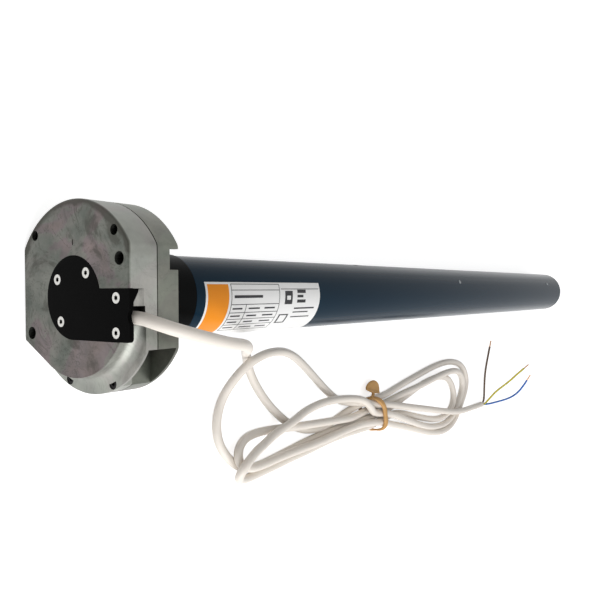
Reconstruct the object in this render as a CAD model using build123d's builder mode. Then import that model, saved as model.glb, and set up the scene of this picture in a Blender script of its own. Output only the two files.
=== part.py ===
from build123d import *
import math
import os

# Tubular roller blind motor with a crank override head.
# Millimetres. The motor axis is X and the origin is on the mounting face of the head, in the middle.
# X runs towards the drive end. Z points up when the head lies on its lower flat.

os.makedirs("parts", exist_ok=True)

# Head castings
head_radius = 52.5
flat_half = 44.8
corner_round = 5.0
face_edge_break = 1.3
recess_width = 9.8
plateau_radius = head_radius - recess_width
recess_depth = 10.8
recess_cove = 6.0
recess_top = 4.7
plateau_slope = 30.0
parting_x = 18.5
parting_groove = 0.35
skirt_floor_x = 27.2
head_length = 33.2
skirt_wall = 3.0
window_low = 14.5
window_high = 25.5
pocket_front_x = 12.3
pocket_back_x = 31.4
pocket_floor_z = 24.4
pocket_ledge_y = -26.8
index_mark_width = 0.7

# Fixing holes in the mounting face
outer_hole_radius = 2.8
outer_hole_edge = 4.4
outer_hole_angle = 45.5
inner_hole_radius = 3.5
inner_hole_pcd = 85.1
inner_hole_angle = 27.9
fixing_hole_depth = 14.0

# Black connection cover
cover_radius = 22.35
cover_thickness = 2.6
cover_proud = 0.2
cover_gap = 0.15
arm_end_z = 45.3
arm_bottom_y = -22.3
arm_inner_round = 3.5
hook_depth = 5.7
hook_wall = 2.2
cover_screw_places = [(9.7, -13.4), (13.0, 11.0), (-13.0, -10.6), (0.0, 35.0), (-17.7, 34.8)]
cover_screw_head_radius = 2.85
cover_screw_head = 1.5
cover_screw_radius = 1.45
cover_screw_length = 9.0
screw_drive_radius = 1.5
screw_drive_waist = 1.05
screw_drive_depth = 1.0

# Housing screws in the recess
housing_screw_edge = 3.27
housing_screw_angle = 21.8
housing_screw_head_radius = 2.75
housing_screw_head = 3.0
housing_screw_radius = 1.95
housing_screw_length = 13.5
housing_screw_sink = 0.4

# Connection space under the cover
bay_radius = 19.5
bay_depth = 9.6
cord_diameter = 7.0
cord_exit = (6.3, -10.0, 39.4)
plug_across = 18.0
plug_along = 17.0
plug_front_x = 2.7
plug_joint_x = 6.4
inner_lead_radius = 0.9
inner_lead_places = [(4.2, -5.6), (4.2, -8.0), (6.4, -6.8)]
gland_width = 9.6
gland_middle_y = -9.0
gland_back_x = 10.2
gland_inner_z = 27.0
contact_radius = 0.9
contact_pitch = 5.5

# Override gearing, turned with a crank
worm_x = parting_x
worm_y = 20.0
worm_root_radius = 4.7
worm_tip_radius = 6.8
worm_lead = math.pi
worm_turns = 4.5
worm_thread_root = 1.3
worm_thread_tip = 0.6
crank_shaft_radius = 4.2
crank_top_z = 24.0
crank_mouth_z = -44.0
crank_shoulder_z = -32.0
crank_head_radius = 6.5
crank_hex_across = 7.0
crank_hex_depth = 10.0
wheel_teeth = 28
wheel_module = 1.0
wheel_width = 5.0

# Neck that carries the motor tube in the head
neck_radius = 10.0
neck_bore = 5.5
neck_start_x = 11.0
circlip_x = 22.0
circlip_width = 1.2
circlip_radius = 12.0
neck_plug_end = 86.0
running = 0.05
seat = 0.05

# Idler ring
ring_radius = 25.6
ring_start_x = 28.0
ring_step_x = 33.4
ring_step = 0.4
ring_end_x = 66.8
ring_web = 4.0
ring_teeth = 60
ring_gear_length = 7.0
ring_bore = 23.0
limit_teeth = 12
limit_shaft_radius = 2.0
limit_shaft_end = 92.0

# Tube
tube_radius = 25.0
tube_wall = 1.5
tube_start_x = 67.3
tube_end_x = 796.5
label_start_x = 74.6
label_end_x = 193.6
label_high_angle = 20.3
label_low_angle = -112.0
label_thickness = 0.15
stake_radius = 2.2
stake_height = 0.5
front_stake_angle = 27.0
rear_stake_angle = 25.0
slot_place = (275.5, 79.0)
slot_size = (8.0, 3.0)

# Inside the tube, behind the neck
limit_unit_end = 160.0
limit_unit_radius = 21.0
lead_bundle_radius = 3.0
lead_offset = 12.0

# Drive train inside the tube, placed from the tube's drive end
end_plug_length = 25.0
gearbox_clearance = 1.5
gearbox_length = 102.0
rear_stake_setback = 28.0
first_stage_setback = 4.0
brake_clearance = 4.0
brake_length = 44.0
brake_wall = 6.0
brake_cavity = 20.0
brake_disc_radius = 16.0
brake_disc_setback = 28.0
brake_disc_width = 6.0
brake_hub_radius = 7.0
brake_hub_length = 12.0
brake_coil_bore = 8.0
brake_coil_gap = 2.0
shield_width = 14.0
stator_length = 120.0
winding_overhang = 14.0
winding_radius = 20.5
rotor_radius = 12.5
rotor_gap = 0.4
rotor_shaft_radius = 4.0
bush_radius = 7.0
capacitor_setback = 34.0
capacitor_length = 90.0
capacitor_radius = 17.5
holder_width = 12.0

# Planetary gearbox
gear_module = 0.7
sun_teeth = 12
planet_teeth = 21
annulus_teeth = 54
planets_per_stage = 3
stage_count = 3
gear_width = 14.0
stage_pitch = 30.0
carrier_width = 5.0
carrier_radius = 17.0
pin_radius = 2.5
backlash = 0.12
pressure_angle = 25.0

# Drive end
end_plug_bush_radius = 13.0
drive_gap = 0.5
drive_reach = 14.5
drive_radius = 18.4
drive_hub_radius = 13.5
drive_shaft_radius = 10.0
drive_shaft_short = 2.0
drive_slot_width = 13.0
drive_slot_turn = 6.5
drive_thread_radius = 3.4
drive_thread_depth = 22.0

# Places along the tube, from the drive end back
end_plug_start = tube_end_x - end_plug_length
gearbox_end = end_plug_start - gearbox_clearance
gearbox_start = gearbox_end - gearbox_length
first_stage_x = gearbox_start + first_stage_setback
brake_end = gearbox_start - brake_clearance
brake_start = brake_end - brake_length
brake_disc_start = brake_end - brake_disc_setback
rear_shield_start = brake_start - shield_width
stator_end = rear_shield_start - winding_overhang
stator_start = stator_end - stator_length
front_shield_start = stator_start - winding_overhang - shield_width
capacitor_end = front_shield_start - capacitor_setback
capacitor_start = capacitor_end - capacitor_length
stake_places = [(front_shield_start + shield_width / 2, front_stake_angle),
                (gearbox_end - rear_stake_setback, rear_stake_angle)]

# Table that the motor lies on, from the head's lower flat up to the far end of the tube
table_rise = (flat_half - tube_radius) / (tube_end_x - head_length)
table_z = -flat_half - head_length * table_rise

# Cord from the head down to the table and under the hank
cord_route = [
    (6.3, -10.0, 39.4),
    (6.3, -10.0, 46.0),
    (9.0, -12.8, 55.0),
    (16.0, -16.0, 60.8),
    (26.5, -19.0, 63.0),
    (41.0, -22.2, 61.8),
    (59.0, -25.7, 58.3),
    (78.0, -28.0, 53.0),
    (98.0, -31.5, 37.5),
    (122.0, -35.3, 17.0),
    (145.0, -38.6, -3.5),
    (161.0, -41.0, -18.5),
    (173.0, -44.0, -28.5),
    (182.0, -52.0, -35.0),
    (188.5, -63.0, -37.0),
    (198.0, -76.5, -37.0),
    (213.0, -92.0, -36.5),
    (232.0, -106.0, -35.8),
]

# Wide loop that leaves the hank at its left end and comes back over the cord
loop_route = [
    (188.0, -134.0, -36.2),
    (174.0, -129.5, -37.1),
    (160.0, -121.0, -37.9),
    (151.5, -108.0, -38.2),
    (150.0, -92.0, -38.2),
    (154.0, -76.5, -36.2),
    (158.5, -63.0, -29.0),
    (167.0, -51.5, -22.3),
    (182.5, -45.7, -20.8),
    (203.0, -44.5, -25.0),
    (223.0, -46.5, -29.8),
    (240.0, -52.0, -32.8),
    (256.0, -61.0, -34.9),
    (272.0, -73.0, -35.0),
    (288.0, -85.5, -34.5),
    (304.0, -97.0, -33.9),
]

# End of the cord, from the hank to where its jacket stops
tail_route = [
    (530.0, -138.5, -23.6),
    (556.0, -141.0, -23.2),
    (583.0, -142.0, -24.2),
    (607.0, -143.3, -25.2),
    (628.0, -143.3, -25.2),
]

# Hank, seen from above the table, and its height
hank_outline = [
    (168.0, -131.0),
    (180.0, -113.0),
    (218.0, -105.0),
    (262.0, -94.0),
    (310.0, -91.0),
    (352.0, -99.5),
    (378.0, -101.0),
    (420.0, -90.0),
    (498.0, -77.0),
    (545.0, -77.0),
    (581.0, -92.0),
    (580.0, -118.0),
    (553.0, -147.0),
    (523.0, -161.0),
    (480.0, -161.5),
    (420.0, -140.0),
    (378.0, -134.0),
    (325.0, -128.0),
    (276.0, -131.0),
    (222.0, -137.5),
    (181.0, -140.0),
]
hank_height = 2 * cord_diameter
hank_edge_break = 3.0

# Cores at the end of the cord, each with a bare copper end
core_diameter = 2.4
copper_diameter = 1.5
copper_length = 9.0
brown_route = [
    (628.0, -141.6, -24.6),
    (633.0, -141.6, -24.6),
    (637.5, -135.0, -25.2),
    (640.5, -122.0, -26.2),
    (646.0, -104.0, -27.2),
    (654.0, -87.0, -27.2),
    (661.5, -72.0, -27.0),
]
green_route = [
    (628.0, -143.9, -23.5),
    (634.0, -143.9, -23.5),
    (642.0, -137.5, -20.0),
    (651.0, -129.5, -15.5),
    (661.0, -123.5, -10.3),
    (672.0, -117.0, -4.4),
    (682.0, -108.5, 2.0),
    (692.0, -101.0, 8.2),
]
blue_route = [
    (628.0, -144.3, -26.3),
    (634.0, -144.3, -26.3),
    (645.0, -144.6, -21.5),
    (660.0, -143.2, -16.0),
    (678.0, -142.0, -11.0),
    (694.0, -138.5, -5.5),
    (703.0, -129.5, 1.5),
    (703.0, -118.0, 8.5),
]

# Rubber band round the hank, with its spare length doubled up beside it
band_x = 364.0
band_width = 5.0
band_thickness = 1.2
band_middle_y = -116.5
band_half = 16.6
band_round = 4.0
band_flap_height = 5.0
band_flap = [(-2, -100), (-2, -93), (-6.5, -90), (-4, -85.5), (4, -85), (7, -91), (2.5, -93), (2, -100)]


def across(x):
    """The plane square to the motor axis at x, with Y across and Z up."""
    return Plane.YZ.offset(x)


def turned(x_start, x_end, radius, bore=0.0, at=(0.0, 0.0), mode=Mode.ADD):
    """A round length along the motor axis."""
    with BuildSketch(across(x_start)) as ring:
        with Locations(at):
            Circle(radius)
            if bore > 0:
                Circle(bore, mode=Mode.SUBTRACT)
    extrude(ring.sketch, amount=x_end - x_start, mode=mode)


def polar(radius, degrees):
    return (radius * math.cos(math.radians(degrees)), radius * math.sin(math.radians(degrees)))


def tooth_points(teeth, module, growth, turn):
    """Corners of a gear with straight flanks between the involute's root and tip.

    growth thickens each tooth at the pitch circle: a gear takes less than zero, and the same
    outline with more than zero is the space that an internal gear leaves.
    """
    pitch = teeth * module / 2
    base = pitch * math.cos(math.radians(pressure_angle))
    reach = 0.9 * module if growth < 0 else 1.15 * module
    depth = 1.15 * module if growth < 0 else 0.9 * module
    half = math.pi / (2 * teeth) + growth / (2 * pitch)

    def involute(radius):
        angle = math.acos(min(1.0, base / radius))
        return math.tan(angle) - angle

    points = []
    for k in range(teeth):
        middle = math.radians(turn) + 2 * math.pi * k / teeth
        corners = ((pitch - depth, -1), (pitch + reach, -1), (pitch + reach, 1), (pitch - depth, 1))
        for radius, side in corners:
            spread = half + involute(pitch) - involute(radius)
            angle = middle + side * spread
            points.append((radius * math.cos(angle), radius * math.sin(angle)))
    return points


def gear_length(x_start, x_end, teeth, module, growth, turn, at=(0.0, 0.0), mode=Mode.ADD):
    """A spur gear, or with a growth above zero the space inside an internal gear."""
    with BuildSketch(across(x_start)) as gear:
        with BuildLine():
            corners = [(y + at[0], z + at[1]) for y, z in tooth_points(teeth, module, growth, turn)]
            Polyline(*corners, close=True)
        make_face()
    extrude(gear.sketch, amount=x_end - x_start, mode=mode)


def save(piece, name):
    piece.part.label = name
    export_step(piece.part, "parts/" + name + ".step")


def head_outline(x, inset=0.0, corner_walls=False):
    """Round outline with two flats, seen along the motor axis."""
    with BuildSketch(across(x)) as outline:
        Circle(head_radius - inset)
        Rectangle(2 * head_radius, 2 * (flat_half - inset), mode=Mode.INTERSECT)
        fillet(outline.vertices(), corner_round)
        if corner_walls:
            with Locations((pocket_ledge_y + inset, pocket_floor_z - inset)):
                Rectangle(head_radius, head_radius, align=(Align.MAX, Align.MIN), mode=Mode.SUBTRACT)
    return outline.sketch


def corner_pocket():
    """Open corner behind the recess, at the lower right of the head."""
    size = head_radius
    with BuildSketch(across(pocket_front_x)) as corner:
        with Locations((pocket_ledge_y, pocket_floor_z)):
            Rectangle(size, size, align=(Align.MAX, Align.MIN))
    extrude(corner.sketch, amount=pocket_back_x - pocket_front_x, mode=Mode.SUBTRACT)


# Tool for the stepped recess that leads the cord around the lower half of the head
with BuildPart() as recess_tool:
    clear = 2 * head_radius
    with BuildSketch(across(-1)):
        with Locations((recess_top, 0)):
            Rectangle(clear, 2 * clear, align=(Align.MAX, Align.CENTER))
        Circle(plateau_radius, mode=Mode.SUBTRACT)
        with BuildLine():
            tangent = polar(-plateau_radius, plateau_slope)
            far_z = -flat_half - clear
            far = (tangent[0] - (far_z - tangent[1]) * math.tan(math.radians(plateau_slope)), far_z)
            Polyline((clear, 0), tangent, far, (clear, far_z), close=True)
        make_face(mode=Mode.SUBTRACT)
    extrude(amount=recess_depth + 1)
    floor_edges = recess_tool.edges().group_by(Axis.X)[-1]
    wall_edges = [e for e in floor_edges if e.center().length < plateau_radius + recess_depth * 2]
    middle = Vertex(recess_depth, 0, 0)
    fillet([e for e in wall_edges if e.distance_to(middle) < plateau_radius + 3], recess_cove)


def plate_outline(x, grow=0.0):
    """Round cover with a square arm that reaches the cord's way out."""
    with BuildSketch(across(x)) as plate:
        Circle(cover_radius + grow)
        arm_top = recess_top + grow
        arm_bottom = arm_bottom_y - grow
        arm_middle = (arm_top + arm_bottom) / 2
        arm_end = arm_end_z + grow
        with Locations((arm_middle, arm_end / 2)):
            Rectangle(arm_top - arm_bottom, arm_end)
        inner = plate.vertices().filter_by(
            lambda v: abs(v.Y - arm_top) < 0.01 and 0 < v.Z < cover_radius + 1)
        fillet(inner, arm_inner_round)
    return plate.sketch


def fixing_holes(mode=Mode.SUBTRACT):
    """The four blind holes of the mounting face."""
    inner = polar(inner_hole_pcd / 2, inner_hole_angle)
    outer = polar(head_radius - outer_hole_edge, outer_hole_angle)
    for side in (-1, 1):
        for place, radius in (((outer[1], side * outer[0]), outer_hole_radius),
                              ((side * inner[1], side * inner[0]), inner_hole_radius)):
            turned(0, fixing_hole_depth, radius, at=place, mode=mode)


def housing_screw_place(side):
    """Where a housing screw stands in the recess, Y and Z, near the head's rim."""
    along, up = polar(head_radius - housing_screw_edge, housing_screw_angle)
    return (-along, side * up)


def star_drive(place, x):
    """Six-lobed drive sunk into a screw head."""
    radii = (screw_drive_radius, screw_drive_waist)
    corners = [polar(radii[k % 2], 30 * k) for k in range(12)]
    with BuildSketch(across(x)) as drive:
        with BuildLine():
            Polyline(*[(place[0] + y, place[1] + z) for y, z in corners], close=True)
        make_face()
    extrude(drive.sketch, amount=screw_drive_depth, mode=Mode.SUBTRACT)


def gear_space():
    """Space in the head for the override wheel and its worm."""
    turned(worm_x - wheel_width / 2 - 1.5, skirt_floor_x - 3, wheel_radius + 1.5, mode=Mode.SUBTRACT)
    with BuildSketch(Plane.XY.offset(-wheel_radius)) as worm_room:
        with Locations((worm_x, worm_y)):
            Circle(worm_tip_radius + 0.6)
    extrude(worm_room.sketch, amount=2 * wheel_radius, mode=Mode.SUBTRACT)


def crank_bore():
    """Round seat for the crank shaft, across the head on the parting plane."""
    for low, high, radius in ((crank_shoulder_z, crank_top_z + running, crank_shaft_radius + running),
                              (crank_mouth_z - 5, crank_shoulder_z, crank_head_radius + running)):
        with BuildSketch(Plane.XY.offset(low)) as seat_circle:
            with Locations((worm_x, worm_y)):
                Circle(radius)
        extrude(seat_circle.sketch, amount=high - low, mode=Mode.SUBTRACT)


wheel_radius = wheel_teeth * wheel_module / 2
limit_centre = (ring_teeth - limit_teeth) * gear_module / 2
cover_seat_x = cover_thickness - cover_proud
bay_floor_x = bay_depth
inside_radius = tube_radius - tube_wall
fit_radius = inside_radius - seat

# Front half of the head: mounting face, recess, connection bay and the front of the gear space
with BuildPart() as head_front:
    extrude(head_outline(0), amount=parting_x - parting_groove)
    extrude(head_outline(parting_x - parting_groove, parting_groove), amount=parting_groove)
    top_arc = head_front.edges().filter_by(GeomType.CIRCLE).filter_by(
        lambda e: abs(e.radius - head_radius) < 0.01 and abs(e.center().X) < 0.01)
    fillet(top_arc, face_edge_break)
    add(recess_tool.part, mode=Mode.SUBTRACT)
    corner_pocket()
    extrude(plate_outline(0, cover_gap), amount=cover_seat_x, mode=Mode.SUBTRACT)
    turned(0, bay_floor_x, bay_radius, mode=Mode.SUBTRACT)
    with BuildSketch(across(0)) as cord_way:
        with Locations((gland_middle_y, (bay_radius - 6 + flat_half) / 2)):
            Rectangle(gland_width + 2 * seat, flat_half - bay_radius + 6)
    extrude(cord_way.sketch, amount=gland_back_x + seat, mode=Mode.SUBTRACT)
    fixing_holes()
    for place in cover_screw_places:
        turned(0, cover_screw_length + 2, cover_screw_radius + running, at=place, mode=Mode.SUBTRACT)
        turned(cover_seat_x, bay_floor_x, cover_screw_radius + 2.0, cover_screw_radius + running, at=place)
    for side in (-1, 1):
        at = housing_screw_place(side)
        head_floor = recess_depth + housing_screw_sink + housing_screw_head
        turned(recess_depth, head_floor, housing_screw_head_radius + 0.25, at=at, mode=Mode.SUBTRACT)
        turned(head_floor, parting_x, housing_screw_radius + running, at=at, mode=Mode.SUBTRACT)
    with Locations(across(0).from_local_coords((cover_radius + 7.0, 0, 0))):
        Box(1.0, 3.0, index_mark_width, mode=Mode.SUBTRACT)
    gear_space()
    crank_bore()
    turned(bay_floor_x, parting_x, neck_bore, mode=Mode.SUBTRACT)
    turned(neck_start_x - seat, parting_x, neck_radius + running, mode=Mode.SUBTRACT)
save(head_front, "head_front")

# Rear half of the head, with a skirt around the idler ring and a window in the upper flat
with BuildPart() as head_rear:
    extrude(head_outline(parting_x, parting_groove), amount=parting_groove)
    extrude(head_outline(parting_x + parting_groove), amount=head_length - parting_x - parting_groove)
    skirt_inside = head_outline(skirt_floor_x, skirt_wall, True)
    extrude(skirt_inside, amount=head_length - skirt_floor_x, mode=Mode.SUBTRACT)
    corner_pocket()
    window_middle = (window_low + window_high) / 2
    with Locations((head_length, window_middle, flat_half)):
        Box(2 * (head_length - skirt_floor_x), window_high - window_low, 4 * skirt_wall, mode=Mode.SUBTRACT)
    turned(parting_x, head_length, neck_radius + running, mode=Mode.SUBTRACT)
    gear_space()
    crank_bore()
    for side in (-1, 1):
        at = housing_screw_place(side)
        screw_end = recess_depth + housing_screw_sink + housing_screw_head + housing_screw_length
        turned(parting_x, screw_end + 0.5, housing_screw_radius + running, at=at, mode=Mode.SUBTRACT)
save(head_rear, "head_rear")

# Black cover over the connection bay, with a hook that shields the cord's way out
with BuildPart() as cover:
    extrude(plate_outline(-cover_proud), amount=cover_thickness)
    with BuildSketch(Plane.XY.offset(arm_end_z)) as hook:
        with BuildLine():
            hook_top = recess_top - cover_gap
            Polyline((0, hook_top), (hook_depth, hook_top), (hook_depth - 0.4, hook_top - 1.8),
                     (0.8, -5.0), (0, -5.0), close=True)
        make_face()
    extrude(hook.sketch, amount=-hook_wall)
    with Locations(across(0).from_local_coords((cord_exit[1] + 0.5, arm_end_z + 3.5, 0))):
        Cylinder(5.0, 4 * cover_thickness, rotation=(0, 90, 0), mode=Mode.SUBTRACT)
    low_corner = cover.edges().filter_by(Axis.X).sort_by(lambda e: e.center().Y - e.center().Z)[0]
    fillet(low_corner, 2.0)
    for place in cover_screw_places:
        turned(-cover_proud, cover_screw_head - cover_proud, cover_screw_head_radius + seat, at=place,
               mode=Mode.SUBTRACT)
        turned(-cover_proud, cover_seat_x, cover_screw_radius + 0.15, at=place, mode=Mode.SUBTRACT)
save(cover, "cover")

# Five cover screws
with BuildPart() as cover_screws:
    for place in cover_screw_places:
        turned(-cover_proud, cover_screw_head - cover_proud, cover_screw_head_radius, at=place)
        turned(cover_screw_head - cover_proud, cover_screw_length, cover_screw_radius, at=place)
        star_drive(place, -cover_proud)
save(cover_screws, "cover_screws")

# Two housing screws in the recess, which clamp the head's halves together
with BuildPart() as housing_screws:
    screw_top = recess_depth + housing_screw_sink
    for side in (-1, 1):
        at = housing_screw_place(side)
        turned(screw_top, screw_top + housing_screw_head, housing_screw_head_radius, at=at)
        turned(screw_top + housing_screw_head, screw_top + housing_screw_head + housing_screw_length,
               housing_screw_radius, at=at)
        star_drive(at, screw_top)
save(housing_screws, "housing_screws")

# Strain relief that grips the cord where it leaves the head
with BuildPart() as cord_gland:
    with BuildSketch(Plane.XY.offset(gland_inner_z)) as gland:
        with Locations(((cover_seat_x + gland_back_x) / 2 + seat / 2, gland_middle_y)):
            RectangleRounded(gland_back_x - cover_seat_x - seat, gland_width, 1.2)
    extrude(gland.sketch, amount=cord_exit[2] - gland_inner_z)
save(cord_gland, "cord_gland")

# Plug and socket in the bay, four contacts between them and the cord's leads
contact_places = [(u * contact_pitch, v * contact_pitch) for u in (-0.5, 0.5) for v in (-0.5, 0.5)]
with BuildPart() as mains_plug:
    with BuildSketch(across(plug_front_x)) as block:
        RectangleRounded(plug_across, plug_along, 2.0)
        with Locations(*contact_places):
            Circle(contact_radius, mode=Mode.SUBTRACT)
    extrude(block.sketch, amount=plug_joint_x - plug_front_x)
save(mains_plug, "mains_plug")

with BuildPart() as mains_socket:
    with BuildSketch(across(plug_joint_x)) as block:
        Rectangle(plug_across, plug_along)
        with Locations(*contact_places):
            Circle(contact_radius, mode=Mode.SUBTRACT)
    extrude(block.sketch, amount=bay_floor_x - plug_joint_x)
save(mains_socket, "mains_socket")

with BuildPart() as contacts:
    for place in contact_places:
        turned(plug_front_x + 1, bay_floor_x, contact_radius, at=place)
save(contacts, "contacts")

with BuildPart() as inner_leads:
    for place in inner_lead_places:
        with Locations((place[0], place[1], plug_along / 2)):
            Cylinder(inner_lead_radius, gland_inner_z - plug_along / 2,
                     align=(Align.CENTER, Align.CENTER, Align.MIN))
save(inner_leads, "inner_leads")

# Crank shaft of the override, with its worm and a six-sided socket for the crank
with BuildPart() as crank_shaft:
    for low, high, radius in ((crank_mouth_z, crank_shoulder_z - running, crank_head_radius),
                              (crank_shoulder_z - running, crank_top_z, crank_shaft_radius),
                              (-wheel_radius + 1, wheel_radius - 1, worm_root_radius)):
        with Locations((worm_x, worm_y, low)):
            Cylinder(radius, high - low, align=(Align.CENTER, Align.CENTER, Align.MIN))
    with BuildSketch(Plane.XY.offset(crank_mouth_z)) as socket:
        with Locations((worm_x, worm_y)):
            RegularPolygon(crank_hex_across / 2, 6, major_radius=False)
    extrude(socket.sketch, amount=crank_hex_depth, mode=Mode.SUBTRACT)
    thread_start = Vector(worm_x, worm_y, -(worm_turns // 2 + 0.25) * worm_lead)
    thread_path = Edge.make_helix(worm_lead, worm_turns * worm_lead, worm_root_radius - 0.2, thread_start)
    with BuildSketch(Plane(origin=thread_path @ 0, x_dir=(1, 0, 0), z_dir=thread_path % 0)) as thread:
        with BuildLine():
            height = worm_tip_radius - worm_root_radius + 0.2
            Polyline((0, -worm_thread_root / 2), (height, -worm_thread_tip / 2),
                     (height, worm_thread_tip / 2), (0, worm_thread_root / 2), close=True)
        make_face()
    sweep(thread.sketch, path=thread_path, is_frenet=True)
save(crank_shaft, "crank_shaft")

# Neck that carries the motor unit in the head, with the plug that closes the tube
with BuildPart() as neck:
    turned(neck_start_x, neck_plug_end, neck_radius)
    turned(tube_start_x, neck_plug_end, fit_radius)
    turned(neck_start_x, neck_plug_end, neck_bore, mode=Mode.SUBTRACT)
    turned(tube_start_x, neck_plug_end, limit_shaft_radius + running, at=(limit_centre, 0),
           mode=Mode.SUBTRACT)
save(neck, "neck")

with BuildPart() as neck_circlip:
    turned(circlip_x, circlip_x + circlip_width, circlip_radius, neck_radius)
    with Locations((circlip_x + circlip_width / 2, -circlip_radius, 0)):
        Box(2 * circlip_width, circlip_radius, 4.0, mode=Mode.SUBTRACT)
save(neck_circlip, "neck_circlip")

# Worm wheel on the neck
with BuildPart() as override_wheel:
    gear_length(worm_x - wheel_width / 2, worm_x + wheel_width / 2, wheel_teeth, wheel_module, -0.35, 0)
    turned(worm_x - wheel_width / 2, worm_x + wheel_width / 2, neck_radius, mode=Mode.SUBTRACT)
save(override_wheel, "override_wheel")

# Idler ring, driven by the roller tube, with an internal gear for the limit unit
with BuildPart() as idler_ring:
    turned(ring_start_x, ring_step_x, ring_radius - ring_step)
    turned(ring_step_x, ring_end_x, ring_radius)
    chamfer(idler_ring.faces().sort_by(Axis.X)[-1].edges(), 0.4)
    turned(ring_start_x + ring_web, ring_end_x - ring_gear_length, ring_bore, mode=Mode.SUBTRACT)
    turned(ring_start_x, ring_end_x, neck_radius + running, mode=Mode.SUBTRACT)
    gear_length(ring_end_x - ring_gear_length, ring_end_x, ring_teeth, gear_module, backlash, 0,
                mode=Mode.SUBTRACT)
save(idler_ring, "idler_ring")

with BuildPart() as limit_pinion:
    pinion_start = ring_end_x - ring_gear_length + 0.5
    gear_length(pinion_start, ring_end_x - 0.3, limit_teeth, gear_module, -backlash, 0,
                at=(limit_centre, 0))
    turned(ring_end_x - 0.3, limit_shaft_end, limit_shaft_radius, at=(limit_centre, 0))
save(limit_pinion, "limit_pinion")


def radial_plane(x, angle, radius):
    """A plane that touches the tube at x, the angle being taken from Z towards Y."""
    turn = math.radians(angle)
    normal = (0, math.sin(turn), math.cos(turn))
    return Plane(origin=(x, radius * normal[1], radius * normal[2]), x_dir=(1, 0, 0), z_dir=normal)


# Painted steel tube with a slot and two staked fastenings
with BuildPart() as tube:
    turned(tube_start_x, tube_end_x, tube_radius, inside_radius)
    with BuildSketch(radial_plane(slot_place[0], slot_place[1], inside_radius - 1)) as slot:
        SlotOverall(slot_size[0], slot_size[1])
    extrude(slot.sketch, amount=tube_wall + 3, mode=Mode.SUBTRACT)
    for x, angle in stake_places:
        with BuildSketch(radial_plane(x, angle, inside_radius - 1)) as hole:
            Circle(stake_radius)
        extrude(hole.sketch, amount=tube_wall + 3, mode=Mode.SUBTRACT)
save(tube, "tube")

with BuildPart() as tube_rivets:
    for x, angle in stake_places:
        with BuildSketch(radial_plane(x, angle, inside_radius)) as shank:
            Circle(stake_radius)
        extrude(shank.sketch, amount=tube_wall + stake_height, taper=8)
save(tube_rivets, "tube_rivets")

# Printed label, wrapped around the tube
with BuildPart() as label:
    with BuildSketch(across(label_start_x)) as wrap:
        Circle(tube_radius + label_thickness)
        Circle(tube_radius, mode=Mode.SUBTRACT)
        with BuildLine():
            step = (label_low_angle - label_high_angle) / 3
            corners = [polar(2 * tube_radius, label_high_angle + step * k) for k in range(4)]
            Polyline((0, 0), *[(across_y, up) for up, across_y in corners], close=True)
        make_face(mode=Mode.INTERSECT)
    extrude(wrap.sketch, amount=label_end_x - label_start_x)
save(label, "label")

# Limit unit behind the neck, driven by the pinion
with BuildPart() as limit_unit:
    turned(neck_plug_end, limit_unit_end, limit_unit_radius)
    for x in (neck_plug_end, limit_unit_end - 4):
        turned(x, x + 4, fit_radius)
    turned(neck_plug_end, limit_shaft_end + 1, limit_shaft_radius + running, at=(limit_centre, 0),
           mode=Mode.SUBTRACT)
    turned(neck_plug_end, limit_shaft_end + 1, neck_bore, mode=Mode.SUBTRACT)
save(limit_unit, "limit_unit")

# Capacitor in its two holders, and the leads from part to part
with BuildPart() as capacitor:
    turned(capacitor_start, capacitor_end, capacitor_radius)
    chamfer(capacitor.edges().filter_by(GeomType.CIRCLE), 1.5)
save(capacitor, "capacitor")

with BuildPart() as capacitor_holders:
    for x_start, cup_start in ((capacitor_start - holder_width / 2, capacitor_start),
                               (capacitor_end - holder_width / 2, capacitor_end - holder_width / 2)):
        turned(x_start, x_start + holder_width, fit_radius)
        turned(cup_start, cup_start + holder_width / 2, capacitor_radius + seat, mode=Mode.SUBTRACT)
save(capacitor_holders, "capacitor_holders")

with BuildPart() as motor_leads:
    for x_start, x_end in ((limit_unit_end, capacitor_start - holder_width / 2),
                           (capacitor_end + holder_width / 2, front_shield_start)):
        turned(x_start, x_end, lead_bundle_radius, at=(lead_offset, 0))
save(motor_leads, "motor_leads")

# Stator with its windings, between two shields
with BuildPart() as stator_core:
    turned(stator_start, stator_end, fit_radius, rotor_radius + rotor_gap)
save(stator_core, "stator_core")

with BuildPart() as stator_windings:
    for x_start in (stator_start - winding_overhang, stator_end):
        turned(x_start, x_start + winding_overhang, winding_radius, rotor_radius + 3 * rotor_gap)
    chamfer(stator_windings.edges().filter_by(GeomType.CIRCLE), 2.0)
save(stator_windings, "stator_windings")


def shield(x_start):
    turned(x_start, x_start + shield_width, fit_radius, bush_radius)


with BuildPart() as front_shield:
    shield(front_shield_start)
save(front_shield, "front_shield")

with BuildPart() as rear_shield:
    shield(rear_shield_start)
save(rear_shield, "rear_shield")

with BuildPart() as rotor_bushes:
    for x_start in (front_shield_start, rear_shield_start):
        turned(x_start, x_start + shield_width, bush_radius, rotor_shaft_radius + running)
save(rotor_bushes, "rotor_bushes")

# Rotor with its shaft, the first sun gear and the brake disc
with BuildPart() as rotor_core:
    turned(stator_start, stator_end, rotor_radius, rotor_shaft_radius)
    chamfer(rotor_core.edges().filter_by(GeomType.CIRCLE), 0.5)
save(rotor_core, "rotor_core")

with BuildPart() as rotor_shaft:
    turned(front_shield_start, first_stage_x - 1, rotor_shaft_radius)
    gear_length(first_stage_x - 1, first_stage_x + gear_width, sun_teeth, gear_module, -backlash, 0)
save(rotor_shaft, "rotor_shaft")

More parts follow.
